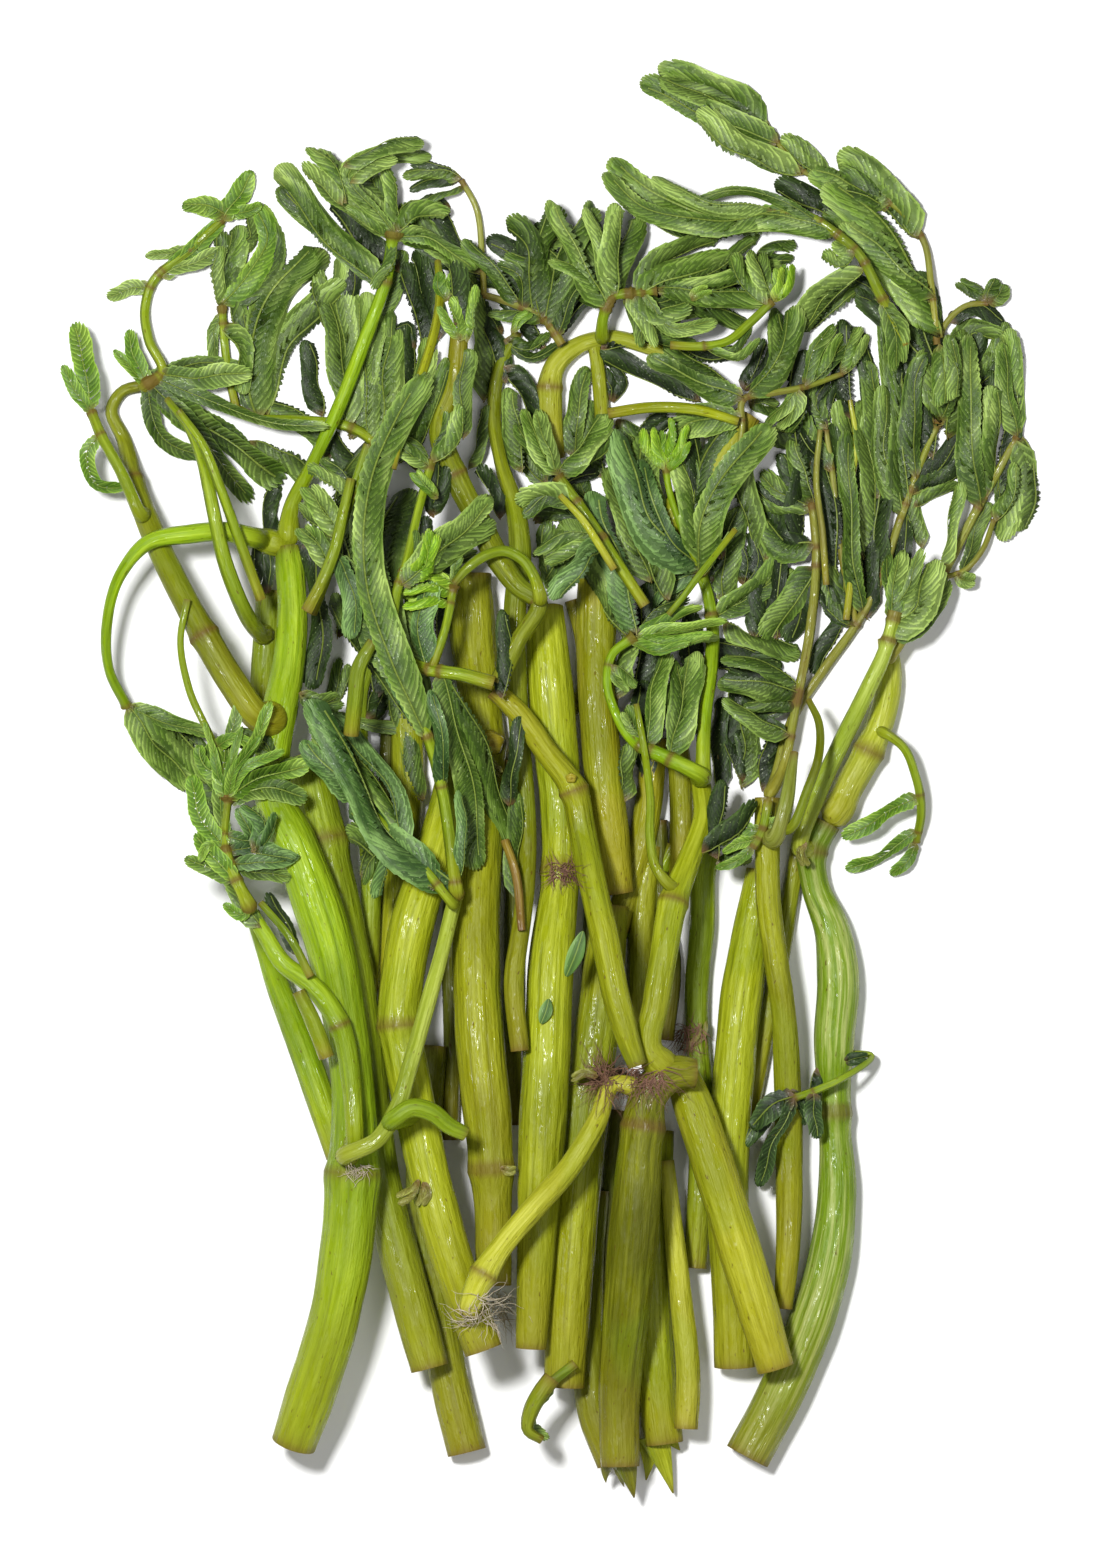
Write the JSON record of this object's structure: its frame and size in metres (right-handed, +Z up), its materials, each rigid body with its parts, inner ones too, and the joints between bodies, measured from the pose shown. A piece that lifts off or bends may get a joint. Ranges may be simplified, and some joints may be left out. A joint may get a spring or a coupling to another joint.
{
  "type": "water mimosa",
  "caption": "Bunch of cut water mimosa lying flat: thick juicy stems side by side, branching into curved stalks with folded, wilted feathery leaves",
  "frame": {"origin": "centre of the bunch in plan, on the surface it lies on", "axes": "+Y from the cut ends to the leafy ends along the bunch, +X across it to the right as seen from above, +Z up"},
  "size_m": [0.1952, 0.2868, 0.0352],
  "materials": {
    "stem": "wet, smooth green plant skin with fine lengthwise streaks",
    "branch": "smooth green plant skin, lightly wet",
    "leaf": "soft, slightly velvety folded leaflets"
  },
  "bodies": {
    "root": {"branch_arched": "branch", "branch_left_leafy": "branch", "branch_left_long": "branch", "branch_right_upper": "branch", "branch_slim_left": "branch", "branch_yellow_slant": "branch", "branch_zigzag_lower": "branch", "branch_zigzag_upper": "branch", "leaf_back_left": "leaf", "leaf_bright_right": "leaf", "leaf_broad_left": "leaf", "leaf_centre": "leaf", "leaf_centre_hook": "leaf", "leaf_centre_left": "leaf", "leaf_centre_right": "leaf", "leaf_crown_left": "leaf", "leaf_crown_right": "leaf", "leaf_crown_sweep": "leaf", "leaf_far_left": "leaf", "leaf_gold_stalk": "leaf", "leaf_left_arch": "leaf", "leaf_left_low": "leaf", "leaf_left_tip": "leaf", "leaf_long_strap": "leaf", "leaf_low_curl": "leaf", "leaf_low_right": "leaf", "leaf_middle_left": "leaf", "leaf_right_curl": "leaf", "leaf_right_dark": "leaf", "leaf_right_edge": "leaf", "leaf_right_tall": "leaf", "leaf_small_right": "leaf", "leaf_top_arch": "leaf", "leaf_top_middle": "leaf", "leaf_top_runner": "leaf", "stem_behind_leaves": "stem", "stem_centre": "stem", "stem_centre_left": "stem", "stem_centre_lower": "stem", "stem_centre_upper": "stem", "stem_far_right": "stem", "stem_forked": "stem", "stem_front_elbow": "stem", "stem_gold_slant": "stem", "stem_gold_upper": "stem", "stem_left_behind": "stem", "stem_left_edge": "stem", "stem_left_front": "stem", "stem_left_middle": "stem", "stem_left_stub": "stem", "stem_low_dark": "stem", "stem_low_green": "stem", "stem_low_left": "stem", "stem_pale_upper": "stem", "stem_right_behind": "stem", "stem_right_slim": "stem", "stem_slim_centre": "stem", "stem_slim_left": "stem", "stem_slim_right": "stem", "stem_yellow_flat": "stem"}
  },
  "joints": []
}
